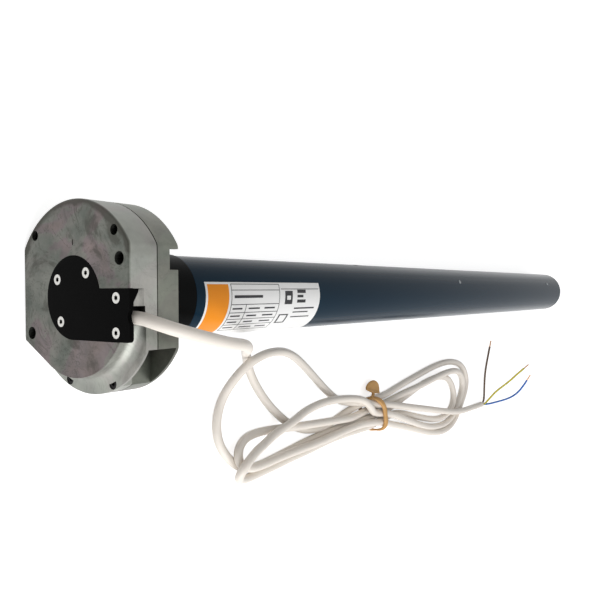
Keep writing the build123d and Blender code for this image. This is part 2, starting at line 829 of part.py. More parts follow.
with BuildPart() as brake_disc:
    turned(brake_disc_start, brake_disc_start + brake_disc_width, brake_disc_radius)
    hub_end = brake_disc_start + brake_disc_width
    turned(hub_end - brake_hub_length, hub_end, brake_hub_radius)
    turned(hub_end - brake_hub_length, hub_end, rotor_shaft_radius, mode=Mode.SUBTRACT)
save(brake_disc, "brake_disc")

with BuildPart() as brake_housing:
    turned(brake_start, brake_end, fit_radius, rotor_shaft_radius + 1)
    turned(brake_start + brake_wall, brake_end - brake_wall, brake_cavity, mode=Mode.SUBTRACT)
save(brake_housing, "brake_housing")

with BuildPart() as brake_coil:
    coil_start = brake_disc_start + brake_disc_width + brake_coil_gap
    turned(coil_start, brake_end - brake_wall, brake_cavity, brake_coil_bore)
save(brake_coil, "brake_coil")

# Planetary gearbox: three like stages in one toothed ring
planet_centre = (sun_teeth + planet_teeth) * gear_module / 2
with BuildPart() as gearbox_ring:
    turned(gearbox_start, gearbox_end, fit_radius)
    gear_length(gearbox_start, gearbox_end, annulus_teeth, gear_module, backlash, 0, mode=Mode.SUBTRACT)
save(gearbox_ring, "gearbox_ring")


def planet_gear(stage, place):
    """One planet, with a tooth pointing outwards so that it meshes with sun and ring."""
    x_start = first_stage_x + stage * stage_pitch
    at = polar(planet_centre, place)
    with BuildPart() as planet:
        gear_length(x_start, x_start + gear_width, planet_teeth, gear_module, -backlash, place, at=at)
        turned(x_start, x_start + gear_width, pin_radius + running, at=at, mode=Mode.SUBTRACT)
    return planet


def carrier(stage):
    """Carrier disc with its planet pins. The next stage's sun is on its other side."""
    x_start = first_stage_x + stage * stage_pitch
    disc_start = x_start + gear_width + 1
    disc_end = disc_start + carrier_width
    next_stage_x = x_start + stage_pitch
    with BuildPart() as plate:
        turned(disc_start, disc_end, carrier_radius)
        for k in range(planets_per_stage):
            turned(x_start, disc_start, pin_radius, at=polar(planet_centre, 360 * k / planets_per_stage))
        if stage < stage_count - 1:
            gear_length(disc_end, next_stage_x + gear_width, sun_teeth, gear_module, -backlash, 0)
        else:
            turned(disc_end, drive_end_x - drive_shaft_short, drive_shaft_radius)
            turned(drive_end_x - drive_shaft_short - drive_thread_depth, drive_end_x - drive_shaft_short,
                   drive_thread_radius, mode=Mode.SUBTRACT)
    return plate


drive_end_x = tube_end_x + drive_reach
for stage in range(stage_count):
    for k in range(planets_per_stage):
        save(planet_gear(stage, 360 * k / planets_per_stage), f"planet_{stage + 1}_{k + 1}")
for stage, name in enumerate(("first_carrier", "second_carrier", "output_shaft")):
    save(carrier(stage), name)

# Drive end: plug, bush and the coupling that takes the roller tube's drive wheel
with BuildPart() as end_plug:
    turned(end_plug_start, tube_end_x, fit_radius, end_plug_bush_radius)
save(end_plug, "end_plug")

with BuildPart() as output_bush:
    turned(end_plug_start, tube_end_x, end_plug_bush_radius, drive_shaft_radius + running)
save(output_bush, "output_bush")

with BuildPart() as drive_dog:
    turned(tube_end_x + drive_gap, drive_end_x, drive_radius)
    chamfer(drive_dog.edges().sort_by(Axis.X)[-1], 1.2)
    with BuildSketch(across(tube_end_x + drive_gap)) as slots:
        with PolarLocations(drive_radius, 4, drive_slot_turn + 90):
            Rectangle(2 * (drive_radius - drive_hub_radius), drive_slot_width)
        Circle(drive_shaft_radius)
    extrude(slots.sketch, amount=drive_reach - drive_gap, mode=Mode.SUBTRACT)
save(drive_dog, "drive_dog")


def length_of_cord(route, diameter):
    """A round cord of straight runs, joined by arcs as large as the runs allow."""
    corners = [Vector(*point) for point in route]
    steps = [after - before for before, after in zip(corners, corners[1:])]
    radii = []
    for before, after in zip(steps, steps[1:]):
        half_turn = math.radians(before.get_angle(after) / 2)
        radii.append(0.45 * min(before.length, after.length) / math.tan(half_turn))
    with BuildLine() as path:
        FilletPolyline(*corners, radius=radii)
    with BuildSketch(Plane(origin=corners[0], z_dir=steps[0])) as section:
        Circle(diameter / 2)
    sweep(section.sketch, path=path.wire())


# Hank as one plain solid on the table, hollowed below where the rubber band passes
table = Plane(origin=(0, 0, table_z), x_dir=(1, 0, table_rise), z_dir=(-table_rise, 0, 1))
with BuildPart() as cord_hank:
    with BuildSketch(table) as outline:
        with BuildLine():
            Spline(*hank_outline, periodic=True)
        make_face()
    extrude(amount=hank_height)
    chamfer(cord_hank.faces().sort_by(Axis.Z)[-1].edges(), hank_edge_break)
    with BuildSketch(table):
        with Locations((band_x, band_middle_y)):
            Rectangle(band_width, 4 * band_half)
    extrude(amount=band_thickness, mode=Mode.SUBTRACT)
save(cord_hank, "cord_hank")

with BuildPart() as rubber_band:
    with BuildSketch(table):
        with Locations((band_x, band_middle_y)):
            Rectangle(band_width, 2 * (band_half + band_thickness))
    extrude(amount=hank_height + band_thickness)
    fillet(rubber_band.edges().filter_by(Axis.X, tolerance=3).group_by(Axis.Z)[-1], band_round)
    with BuildSketch(table.offset(band_flap_height)):
        with BuildLine():
            Polyline(*[(band_x + x, y) for x, y in band_flap], close=True)
        make_face()
    extrude(amount=band_thickness)
    add(cord_hank.part, mode=Mode.SUBTRACT)
save(rubber_band, "rubber_band")

# Free stretches of the cord, each ending on the hank's side
with BuildPart() as power_cord:
    length_of_cord(cord_route, cord_diameter)
    add(cord_hank.part, mode=Mode.SUBTRACT)
save(power_cord, "power_cord")

with BuildPart() as cord_loop:
    length_of_cord(loop_route, cord_diameter)
    add(cord_hank.part, mode=Mode.SUBTRACT)
save(cord_loop, "cord_loop")

with BuildPart() as cord_tail:
    length_of_cord(tail_route, cord_diameter)
    add(cord_hank.part, mode=Mode.SUBTRACT)
save(cord_tail, "cord_tail")

# Cores that leave the jacket
with BuildPart() as core_brown:
    length_of_cord(brown_route, core_diameter)
save(core_brown, "core_brown")

with BuildPart() as core_green:
    length_of_cord(green_route, core_diameter)
save(core_green, "core_green")

with BuildPart() as core_blue:
    length_of_cord(blue_route, core_diameter)
save(core_blue, "core_blue")

with BuildPart() as copper_ends:
    for route in (brown_route, green_route, blue_route):
        end = Vector(*route[-1])
        with BuildSketch(Plane(origin=end, z_dir=end - Vector(*route[-2]))):
            Circle(copper_diameter / 2)
        extrude(amount=copper_length)
save(copper_ends, "copper_ends")
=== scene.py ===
"""Tubular motor for a roller blind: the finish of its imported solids, its supply cord, and the stage it is shown on.

Lengths are in millimetres where a name or a comment doesn't say metres. The motor's axis is the frame's X.
"""

import bmesh
import bpy
import numpy as np
from mathutils import Matrix, Vector


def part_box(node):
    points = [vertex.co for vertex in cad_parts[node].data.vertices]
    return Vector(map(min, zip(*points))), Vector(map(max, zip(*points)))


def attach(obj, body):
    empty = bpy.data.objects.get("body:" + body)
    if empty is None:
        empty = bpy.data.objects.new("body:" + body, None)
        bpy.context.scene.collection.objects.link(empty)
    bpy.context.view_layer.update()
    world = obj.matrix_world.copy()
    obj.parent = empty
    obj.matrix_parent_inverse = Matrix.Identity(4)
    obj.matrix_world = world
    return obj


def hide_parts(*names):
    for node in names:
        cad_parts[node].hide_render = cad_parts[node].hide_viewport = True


bl_info = {
    "name": "Roller blind motor",
    "version": (1, 0, 0),
    "blender": (4, 5, 0),
    "location": "3D View > Sidebar > Blind motor",
    "description": "Dresses the tubular motor: castings, tube, label, cord, stage",
    "category": "Add Mesh",
}

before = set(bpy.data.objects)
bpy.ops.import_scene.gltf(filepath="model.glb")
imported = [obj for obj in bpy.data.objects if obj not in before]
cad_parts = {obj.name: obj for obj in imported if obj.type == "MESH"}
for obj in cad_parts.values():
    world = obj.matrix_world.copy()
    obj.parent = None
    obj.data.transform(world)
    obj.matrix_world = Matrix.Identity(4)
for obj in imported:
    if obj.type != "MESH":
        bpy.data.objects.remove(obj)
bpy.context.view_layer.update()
MM = 0.001

# The table that the motor lies on: height of its plane at X = 0, and its rise along X
TABLE_RISE = 0.02594
TABLE_Z = -44.8 - 33.2 * TABLE_RISE
LABEL_RADIUS = 25.15
# How far each print stands off the label
PRINT_RISE = {"field": 0.03, "ink": 0.06, "film": 0.06}

# Control points of the supply cord in millimetres. FALL and LOOP give X, Y, Z; HANK_* give X, Y and the height
# of the cord's middle above the table.
CORD_FALL = (
    (6.3, -10, 39.4), (6.3, -10, 46), (9, -12.8, 55), (16, -16, 60.8), (26.5, -19, 63), (41, -22.2, 61.8),
    (59, -25.7, 58.3), (78, -28, 53), (98, -31.5, 37.5), (122, -35.3, 17), (145, -38.6, -3.5), (161, -41, -18.5),
    (173, -44, -28.5), (182, -52, -35), (188.5, -63, -37), (198, -76.5, -37), (213, -92, -36.5))
CORD_HANK = (
    (232, -106, 3.6), (246, -113, 3.6), (262, -117.5, 3.6), (282, -118.5, 3.6), (302, -115, 3.6), (322, -109.5, 3.6),
    (343, -106, 3.6), (364, -103.6, 3.6), (391, -102.5, 3.6),
    (421, -96, 3.6), (465, -88, 3.6), (506, -81.5, 3.6), (540, -80.5, 3.6), (566, -86, 3.6), (580, -97, 3.6),
    (584, -111, 3.6), (577, -124.5, 3.6), (566, -136, 3.6), (555, -149, 3.6), (537, -158.5, 3.6), (515, -160.5, 3.6),
    (488, -157, 3.6), (454, -147.5, 3.6), (421, -138.5, 3.8), (395, -132.5, 7.5), (378, -127.4, 10.8),
    (360, -125, 10.2), (340, -123, 10.6), (318, -123.5, 10.6), (290, -126, 10.8), (262, -128.5, 10.8),
    (236, -129.5, 10.8), (212, -131, 10.8), (194, -133, 10.6),
    (178, -133, 10.6), (167.5, -127.5, 10.4), (167, -117.5, 9), (177, -110.5, 6),
    (192, -108.6, 3.8), (210, -108.8, 4.2), (226, -109.2, 8.8), (242, -110, 11.2), (258, -110.8, 11.2),
    (276, -112, 11), (300, -113.5, 10.6), (320, -115, 9.5), (342, -114, 6), (364, -112.2, 3.6), (388, -111, 3.6),
    (421, -104.5, 6.6), (454, -99.5, 10.2), (486, -94.3, 10.8), (518, -90.8, 10.6), (544, -91.5, 8.8),
    (562.5, -98, 6.2), (573, -109.5, 4.2), (570, -122, 3.6), (559, -134, 3.6), (546, -146, 3.6), (529, -152, 3.6),
    (508, -152.5, 4.0), (482, -149, 6.0), (454, -141.5, 7.0), (425, -132, 8.8), (402, -124.5, 10.6),
    (384, -119.5, 10.8),
    (364, -116.5, 10.6), (352, -113, 13), (342, -106, 16.5), (331, -98.5, 15.5), (313, -95.5, 12), (288, -94, 10.9),
    (267, -95, 10.8), (246, -98.5, 11.8), (226, -104, 15), (207, -110, 13), (191, -116.5, 14),
    (181, -117.5, 17.5), (171, -122, 19), (163, -128.5, 18.5), (162.5, -136, 14), (171, -140.5, 8),
    (185, -142.2, 4.4), (200, -141, 3.6), (216, -139.5, 3.6), (238, -137, 3.6), (262, -135, 3.6),
    (290, -131.5, 3.6), (318, -130, 3.6), (342, -130, 3.6), (364, -129.4, 3.6), (384, -126.5, 3.6),
    (404, -123.5, 3.6), (421, -125, 3.6), (447, -131.5, 3.6), (475, -138.5, 3.6), (502, -144, 3.6),
    (527, -143.5, 3.6), (544, -135.5, 3.6), (550, -123, 3.6), (544, -109, 3.6), (532, -99.5, 3.6), (512, -95.8, 3.6),
    (488, -97, 3.6), (460, -102, 3.6), (431, -109, 3.6), (408, -115, 3.6), (388, -118.5, 3.6),
    (364, -120.8, 3.6), (340, -121.5, 3.6), (318, -122, 3.6), (290, -124, 3.6), (262, -126.5, 3.6),
    (240, -129.5, 3.6), (220, -132.5, 3.6), (203, -134.8, 3.6), (188, -135.5, 3.4))
CORD_LOOP = (
    (173, -131.5, -37.4), (160, -121, -37.9), (151.5, -108, -38.2), (150, -92, -38.2), (154, -76.5, -36.2),
    (158.5, -63, -29), (167, -51.5, -22.3), (182.5, -45.7, -20.8), (203, -44.5, -25), (223, -46.5, -29.8),
    (240, -52, -32.8), (256, -61, -34.9), (272, -73, -35))
CORD_TAIL = (
    (288, -85.5, 3.6), (304, -96, 3.6), (320, -101, 5), (340, -102.8, 9.4), (364, -107.9, 10.2), (384, -110.5, 10.6),
    (404, -114.5, 10.8), (430, -119.5, 11), (462, -125.5, 11), (500, -133, 11), (530, -138.5, 11), (556, -141, 10.8),
    (583, -142, 8), (607, -143.3, 4.6), (628, -143.3, 4.0))
BROWN_ROUTE = (
    (628, -141.6, -24.6), (633, -141.6, -24.6), (637.5, -135, -25.2), (640.5, -122, -26.2), (646, -104, -27.2),
    (654, -87, -27.2), (661.5, -72, -27))
GREEN_ROUTE = (
    (628, -143.9, -23.5), (634, -143.9, -23.5), (642, -137.5, -20), (651, -129.5, -15.5), (661, -123.5, -10.3),
    (672, -117, -4.4), (682, -108.5, 2), (692, -101, 8.2))
BLUE_ROUTE = (
    (628, -144.3, -26.3), (634, -144.3, -26.3), (645, -144.6, -21.5), (660, -143.2, -16), (678, -142, -11),
    (694, -138.5, -5.5), (703, -129.5, 1.5), (703, -118, 8.5))


# Colours and materials
def linear(hex_colour):
    """Linear colour with alpha from an sRGB hex value."""
    parts = [int(hex_colour[i:i + 2], 16) / 255 for i in (1, 3, 5)]
    return tuple(p / 12.92 if p <= 0.04045 else ((p + 0.055) / 1.055) ** 2.4 for p in parts) + (1.0,)


def grey(level):
    return (level, level, level, 1.0)


def across(size_mm):
    """Noise scale whose features are about this many millimetres across."""
    return 1.0 / (size_mm * MM)


def add(tree, kind, sockets=None, settings=None, stops=None):
    """Add one node. Each socket gets a value, or is linked where it is given another node's output. Stops are a
    colour ramp's places and colours: its two ends first, then those between them."""
    made = tree.nodes.new(kind)
    for name, value in (settings or {}).items():
        setattr(made, name, value)
    for place, (at, colour) in enumerate(stops or ()):
        if place > 1:
            made.color_ramp.elements.new(at)
        made.color_ramp.elements[place].position = at
        made.color_ramp.elements[place].color = colour
    for name, value in (sockets or {}).items():
        if isinstance(value, bpy.types.NodeSocket):
            tree.links.new(value, made.inputs[name])
        else:
            made.inputs[name].default_value = value
    return made


def material(name, **values):
    """A material with one Principled shader, whose sockets take the given values, with _ for a space in their names.
    Returned with its tree, its shader and its Object coordinates."""
    made = bpy.data.materials.new(name)
    made.use_nodes = True
    tree = made.node_tree
    shader = tree.nodes["Principled BSDF"]
    for socket, value in values.items():
        shader.inputs[socket.replace("_", " ")].default_value = value
    coords = tree.nodes.new("ShaderNodeTexCoord").outputs["Object"]
    return made, tree, shader, coords


def die_casting(name, face, side, rim_level):
    """Aluminium die casting with a thin chemical film. The eye sees a dark cloudy skin on the machined face and a
    paler one on the sides, faint pink, violet and green in wide bands, ragged stains, a brown rim on the face's
    upper edge, and painted shade that makes holes and pockets dark. The face's darker skin is partly painted shade
    too, for the dark surroundings that the face looks towards.

    Face and sides are told apart by depth along X. The rim is where the distance from the axis, roughened by noise,
    comes near the head's radius, and it fades out below the axis. The painted shade lies where little open sky is
    seen.
    """
    made, tree, shader, coords = material(name, Metallic=0.9)
    place = add(tree, "ShaderNodeSeparateXYZ", {"Vector": coords})
    # 0 on the machined face, 1 on the sides
    depth = add(tree, "ShaderNodeMapRange", {"Value": place.outputs["X"], "From Min": 0.3 * MM, "From Max": 1.5 * MM})
    clouds = add(tree, "ShaderNodeTexNoise", {"Vector": coords, "Scale": across(16.667), "Detail": 6.0,
                                              "Roughness": 0.62})
    # Darker on the face: partly the skin's own colour, partly painted shade for the dark surroundings the face looks
    # towards
    on_face = add(tree, "ShaderNodeValToRGB", {"Fac": clouds.outputs["Fac"]},
                  stops=((0.3, linear(face[0])), (0.7, linear(face[1]))))
    on_side = add(tree, "ShaderNodeValToRGB", {"Fac": clouds.outputs["Fac"]},
                  stops=((0.3, linear(side[0])), (0.7, linear(side[1]))))
    body = add(tree, "ShaderNodeMix", {0: depth.outputs[0], 6: on_face.outputs["Color"],
                                       7: on_side.outputs["Color"]}, {"data_type": "RGBA"})
    # The film's wide bands of colour
    film = add(tree, "ShaderNodeTexNoise", {"Vector": coords, "Scale": across(58.824), "Detail": 3.0,
                                            "Distortion": 2.2})
    tints = add(tree, "ShaderNodeValToRGB", {"Fac": film.outputs["Fac"]},
                stops=((0.34, linear("#f8e6e6")), (0.66, linear("#ebe8f8")), (0.46, linear("#f6f5f0")),
                       (0.55, linear("#e9f3ea"))))
    film_level = add(tree, "ShaderNodeMapRange", {"Value": depth.outputs[0], "To Min": 0.9, "To Max": 0.25})
    tinted = add(tree, "ShaderNodeMix", {0: film_level.outputs[0], 6: body.outputs[2], 7: tints.outputs["Color"]},
                 {"data_type": "RGBA", "blend_type": "MULTIPLY"})
    # Stains in patches, and thin veins where the same noise passes one value
    stain = add(tree, "ShaderNodeTexNoise", {"Vector": coords, "Scale": across(26.316), "Detail": 8.0,
                                             "Roughness": 0.68, "Distortion": 0.9})
    patches = add(tree, "ShaderNodeMapRange", {"Value": stain.outputs["Fac"], "From Min": 0.54, "From Max": 0.63,
                                               "To Max": 0.62})
    from_vein = add(tree, "ShaderNodeMath", {0: stain.outputs["Fac"], 1: 0.47}, {"operation": "SUBTRACT"})
    from_vein = add(tree, "ShaderNodeMath", {0: from_vein.outputs[0]}, {"operation": "ABSOLUTE"})
    veins = add(tree, "ShaderNodeMapRange", {"Value": from_vein.outputs[0], "From Max": 0.012, "To Min": 0.62,
                                             "To Max": 0.0})
    # Brown rim on the face's upper edge
    square_to_axis = add(tree, "ShaderNodeVectorMath", {0: coords, 1: (0.0, 1.0, 1.0)}, {"operation": "MULTIPLY"})
    radius = add(tree, "ShaderNodeVectorMath", {0: square_to_axis.outputs[0]}, {"operation": "LENGTH"})
    ragged = add(tree, "ShaderNodeMath", {0: clouds.outputs["Fac"], 1: 14.0 * MM, 2: radius.outputs["Value"]},
                 {"operation": "MULTIPLY_ADD"})
    rim = add(tree, "ShaderNodeMapRange", {"Value": ragged.outputs[0], "From Min": 54.8 * MM, "From Max": 57.0 * MM,
                                           "To Max": rim_level})
    upper = add(tree, "ShaderNodeMapRange", {"Value": place.outputs["Y"], "From Min": -6 * MM, "From Max": 12 * MM})
    rim = add(tree, "ShaderNodeMath", {0: rim.outputs[0], 1: upper.outputs[0]}, {"operation": "MULTIPLY"})
    marks = add(tree, "ShaderNodeMath", {0: patches.outputs[0], 1: veins.outputs[0]}, {"operation": "MAXIMUM"})
    marks = add(tree, "ShaderNodeMath", {0: marks.outputs[0], 1: rim.outputs[0]}, {"operation": "MAXIMUM"})
    less_on_sides = add(tree, "ShaderNodeMapRange", {"Value": depth.outputs[0], "To Min": 1.0, "To Max": 0.3})
    marks = add(tree, "ShaderNodeMath", {0: marks.outputs[0], 1: less_on_sides.outputs[0]},
                {"operation": "MULTIPLY"})
    stained = add(tree, "ShaderNodeMix", {0: marks.outputs[0], 6: tinted.outputs[2], 7: linear("#383731")},
                  {"data_type": "RGBA"})
    # Painted shade in holes and pockets, darkest where little open sky is seen
    open_sky = add(tree, "ShaderNodeAmbientOcclusion", {"Distance": 14 * MM}, {"samples": 8})
    painted_shade = add(tree, "ShaderNodeMapRange", {"Value": open_sky.outputs["AO"], "From Min": 0.12, "From Max": 0.62,
                                            "To Min": 0.94, "To Max": 0.0})
    final = add(tree, "ShaderNodeMix", {0: painted_shade.outputs[0], 6: stained.outputs[2], 7: linear("#10110f")},
                {"data_type": "RGBA"})
    rough = add(tree, "ShaderNodeMapRange", {"Value": clouds.outputs["Fac"], "To Min": 0.34, "To Max": 0.56})
    # A casting's real grain is finer than a pixel, so it is drawn coarser
    grain = add(tree, "ShaderNodeTexNoise", {"Vector": coords, "Scale": across(0.71429), "Detail": 2.0})
    bump = add(tree, "ShaderNodeBump", {"Height": grain.outputs["Fac"], "Strength": 0.12, "Distance": 0.2 * MM})
    tree.links.new(final.outputs[2], shader.inputs["Base Color"])
    tree.links.new(rough.outputs[0], shader.inputs["Roughness"])
    tree.links.new(bump.outputs[0], shader.inputs["Normal"])
    return made


def moulding(name, low, high, roughness, grain_mm, strength=0.15, shine=0.5):
    """Moulded or extruded plastic: the eye sees an even colour that clouds a little, and the fine grain of the mould
    in its gloss. The real grain is finer than a pixel, so grain_mm is coarser than it."""
    made, tree, shader, coords = material(name, Roughness=roughness, IOR=1.5, Specular_IOR_Level=shine)
    clouds = add(tree, "ShaderNodeTexNoise", {"Vector": coords, "Scale": across(25), "Detail": 3.0})
    body = add(tree, "ShaderNodeMix", {0: clouds.outputs["Fac"], 6: linear(low), 7: linear(high)},
               {"data_type": "RGBA"})
    grain = add(tree, "ShaderNodeTexNoise", {"Vector": coords, "Scale": across(grain_mm), "Detail": 2.0})
    bump = add(tree, "ShaderNodeBump", {"Height": grain.outputs["Fac"], "Strength": strength,
                                        "Distance": 0.3 * grain_mm * MM})
    tree.links.new(body.outputs[2], shader.inputs["Base Color"])
    tree.links.new(bump.outputs[0], shader.inputs["Normal"])
    return made


def metal(name, low, high, roughness, marks_mm=0.6):
    """Machined, plated or wound metal: the eye sees fine marks that are both lighter and rougher. The real marks are
    finer than a pixel, so marks_mm is coarser than they are."""
    made, tree, shader, coords = material(name, Metallic=1.0)
    marks = add(tree, "ShaderNodeTexNoise", {"Vector": coords, "Scale": across(marks_mm), "Detail": 4.0})
    body = add(tree, "ShaderNodeMix", {0: marks.outputs["Fac"], 6: linear(low), 7: linear(high)},
               {"data_type": "RGBA"})
    rough = add(tree, "ShaderNodeMapRange", {"Value": marks.outputs["Fac"], "To Min": roughness - 0.06,
                                             "To Max": roughness + 0.1})
    tree.links.new(body.outputs[2], shader.inputs["Base Color"])
    tree.links.new(rough.outputs[0], shader.inputs["Roughness"])
    return made


def screw_steel(name, low, high, head_x):
    """Zinc plated screw: the eye sees a bright head round a drive recess, which painted shade makes black. The recess
    is told from the head by its depth below the head's own plane, head_x in metres."""
    made, tree, shader, coords = material(name, Metallic=1.0, Roughness=0.34)
    place = add(tree, "ShaderNodeSeparateXYZ", {"Vector": coords})
    depth = add(tree, "ShaderNodeMapRange", {"Value": place.outputs["X"], "From Min": head_x + 0.15 * MM,
                                             "From Max": head_x + 0.6 * MM})
    turned = add(tree, "ShaderNodeTexNoise", {"Vector": coords, "Scale": across(1.1111), "Detail": 3.0})
    head = add(tree, "ShaderNodeMix", {0: turned.outputs["Fac"], 6: linear(low), 7: linear(high)},
               {"data_type": "RGBA"})
    # Painted shade: the drive recess is coloured near black
    body = add(tree, "ShaderNodeMix", {0: depth.outputs[0], 6: head.outputs[2], 7: linear("#0b0b0b")},
               {"data_type": "RGBA"})
    tree.links.new(body.outputs[2], shader.inputs["Base Color"])
    return made


def stoving_enamel(colour):
    """Dark blue stoving enamel on the steel tube: the eye sees a deep even colour, a soft orange peel in its gloss,
    and painted shade that makes the inside of the tube and its slot black.

    The inside is where the distance from the axis is under the wall's outer radius. The slot is where the distance
    from its middle is small, with X drawn in so that a round patch becomes a long one.
    """
    made, tree, shader, coords = material("Dark blue stoving enamel", Roughness=0.2, IOR=1.5,
                                          Specular_IOR_Level=0.06)
    clouds = add(tree, "ShaderNodeTexNoise", {"Vector": coords, "Scale": across(111.11), "Detail": 2.0})
    enamel = add(tree, "ShaderNodeMix", {0: clouds.outputs["Fac"], 6: linear(colour), 7: linear("#0f2b3b")},
                 {"data_type": "RGBA"})
    square_to_axis = add(tree, "ShaderNodeVectorMath", {0: coords, 1: (0.0, 1.0, 1.0)}, {"operation": "MULTIPLY"})
    radius = add(tree, "ShaderNodeVectorMath", {0: square_to_axis.outputs[0]}, {"operation": "LENGTH"})
    # Painted shade: black inside the tube and in its slot
    outside = add(tree, "ShaderNodeMapRange", {"Value": radius.outputs["Value"], "From Min": 24.3 * MM,
                                               "From Max": 24.8 * MM})
    slot_x, slot_y, slot_z, drawn_in = 279 * MM, 24.8 * MM, 3.2 * MM, 0.35
    shortened = add(tree, "ShaderNodeVectorMath", {0: coords, 1: (drawn_in, 1.0, 1.0)}, {"operation": "MULTIPLY"})
    from_slot = add(tree, "ShaderNodeVectorMath", {0: shortened.outputs[0], 1: (drawn_in * slot_x, slot_y, slot_z)},
                    {"operation": "DISTANCE"})
    off_slot = add(tree, "ShaderNodeMapRange", {"Value": from_slot.outputs["Value"], "From Min": 1.5 * MM,
                                                "From Max": 2.1 * MM})
    painted = add(tree, "ShaderNodeMath", {0: outside.outputs[0], 1: off_slot.outputs[0]}, {"operation": "MULTIPLY"})
    body = add(tree, "ShaderNodeMix", {0: painted.outputs[0], 6: linear("#050505"), 7: enamel.outputs[2]},
               {"data_type": "RGBA"})
    peel = add(tree, "ShaderNodeTexNoise", {"Vector": coords, "Scale": across(2), "Detail": 2.0})
    bump = add(tree, "ShaderNodeBump", {"Height": peel.outputs["Fac"], "Strength": 0.05, "Distance": 0.2 * MM})
    tree.links.new(body.outputs[2], shader.inputs["Base Color"])
    tree.links.new(bump.outputs[0], shader.inputs["Normal"])
    return made


def sheath_pvc(colour):
    """Soft white PVC sheath: the eye sees a satin warm white, with a barely seen unevenness from the extruder."""
    made, tree, shader, coords = material("White PVC sheath", Roughness=0.42, IOR=1.53)
    clouds = add(tree, "ShaderNodeTexNoise", {"Vector": coords, "Scale": across(14.286), "Detail": 3.0})
    body = add(tree, "ShaderNodeMix", {0: clouds.outputs["Fac"], 6: linear(colour), 7: linear("#efe8df")},
               {"data_type": "RGBA"})
    ripple = add(tree, "ShaderNodeTexNoise", {"Vector": coords, "Scale": across(2.38095), "Detail": 2.0})
    bump = add(tree, "ShaderNodeBump", {"Height": ripple.outputs["Fac"], "Strength": 0.12, "Distance": 0.3 * MM})
    tree.links.new(body.outputs[2], shader.inputs["Base Color"])
    tree.links.new(bump.outputs[0], shader.inputs["Normal"])
    return made


def striped_pvc():
    """Green and yellow PVC insulation: the eye sees one green stripe along a yellow core. The stripe is the part of
    the way round, read from the core's own UV."""
    made, tree, shader, _ = material("Green and yellow PVC insulation", Roughness=0.35, IOR=1.53)
    uv = add(tree, "ShaderNodeTexCoord").outputs["UV"]
    parts = add(tree, "ShaderNodeSeparateXYZ", {"Vector": uv})
    side = add(tree, "ShaderNodeMath", {0: parts.outputs["Y"], 1: 1.0}, {"operation": "FRACT"})
    stripe = add(tree, "ShaderNodeMath", {0: side.outputs[0], 1: 0.42}, {"operation": "LESS_THAN"})
    body = add(tree, "ShaderNodeMix", {0: stripe.outputs[0], 6: linear("#e6cf2c"), 7: linear("#7f9f35")},
               {"data_type": "RGBA"})
    tree.links.new(body.outputs[2], shader.inputs["Base Color"])
    return made


def natural_rubber(colour):
    """Natural rubber band: the eye sees tan blotches under a dull, dusty skin."""
    made, tree, shader, coords = material("Natural rubber band", Roughness=0.62, IOR=1.52)
    clouds = add(tree, "ShaderNodeTexNoise", {"Vector": coords, "Scale": across(3.84615), "Detail": 5.0})
    body = add(tree, "ShaderNodeMix", {0: clouds.outputs["Fac"], 6: linear("#bb8c51"), 7: linear(colour)},
               {"data_type": "RGBA"})
    dust = add(tree, "ShaderNodeTexNoise", {"Vector": coords, "Scale": across(0.66667), "Detail": 3.0})
    bump = add(tree, "ShaderNodeBump", {"Height": dust.outputs["Fac"], "Strength": 0.3, "Distance": 0.2 * MM})
    tree.links.new(body.outputs[2], shader.inputs["Base Color"])
    tree.links.new(bump.outputs[0], shader.inputs["Normal"])
    return made


def seen_rays(tree):
    """1 for rays from the camera or off gloss or glass, which see the white background; otherwise 0."""
    rays = add(tree, "ShaderNodeLightPath")
    seen = add(tree, "ShaderNodeMath", {0: rays.outputs["Is Camera Ray"], 1: rays.outputs["Is Glossy Ray"]},
               {"operation": "MAXIMUM"})
    seen = add(tree, "ShaderNodeMath", {0: seen.outputs[0], 1: rays.outputs["Is Transmission Ray"]},
               {"operation": "MAXIMUM"})
    return seen.outputs[0]


def table_laminate():
    """White laminate table: the eye sees plain white with the object's shadow on it. A glow is added to its white for
    the rays that see it, and none for those that light the object."""
    made = bpy.data.materials.new("White laminate table")
    made.use_nodes = True
    tree = made.node_tree
    tree.nodes.clear()
    plain = add(tree, "ShaderNodeBsdfDiffuse", {"Color": grey(0.82)})
    glow = add(tree, "ShaderNodeEmission", {"Color": grey(1.0), "Strength": 0.72})
    both = add(tree, "ShaderNodeAddShader", {0: plain.outputs[0], 1: glow.outputs[0]})
    mixed = add(tree, "ShaderNodeMixShader", {0: seen_rays(tree), 1: plain.outputs[0], 2: both.outputs[0]})
    add(tree, "ShaderNodeOutputMaterial", {"Surface": mixed.outputs[0]})
    return made


def studio_world(level):
    """Even surroundings: this level for the light on the object, white for the rays that see them."""
    world = bpy.data.worlds.new("Studio")
    world.use_nodes = True
    tree = world.node_tree
    tree.nodes.clear()
    strength = add(tree, "ShaderNodeMapRange", {"Value": seen_rays(tree), "To Min": level, "To Max": 1.0})
    sky = add(tree, "ShaderNodeBackground", {"Color": grey(1.0), "Strength": strength.outputs[0]})
    add(tree, "ShaderNodeOutputWorld", {"Surface": sky.outputs[0]})
    return world


def dress(finish, *names):
    """Give CAD nodes a material, on their objects' own slots."""
    for name in names:
        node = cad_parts[name]
        if not node.material_slots:
            node.data.materials.append(finish)
        node.material_slots[0].link = "OBJECT"
        node.material_slots[0].material = finish


# Shapes
def new_mesh(name, points, faces, uv=None, smooth=True):
    """A mesh object at the origin from an array of points in metres and a list of arrays of faces."""
    mesh = bpy.data.meshes.new(name)
    mesh.from_pydata(points.tolist(), [], [face for rows in faces for face in rows.tolist()])
    if uv is not None:
        layer = mesh.uv_layers.new(name="UVMap")
        loops = np.empty(len(mesh.loops), int)
        mesh.loops.foreach_get("vertex_index", loops)
        layer.data.foreach_set("uv", uv[loops].ravel())
    mesh.polygons.foreach_set("use_smooth", np.full(len(mesh.polygons), smooth))
    mesh.update()
    made = bpy.data.objects.new(name, mesh)
    bpy.context.scene.collection.objects.link(made)
    return made


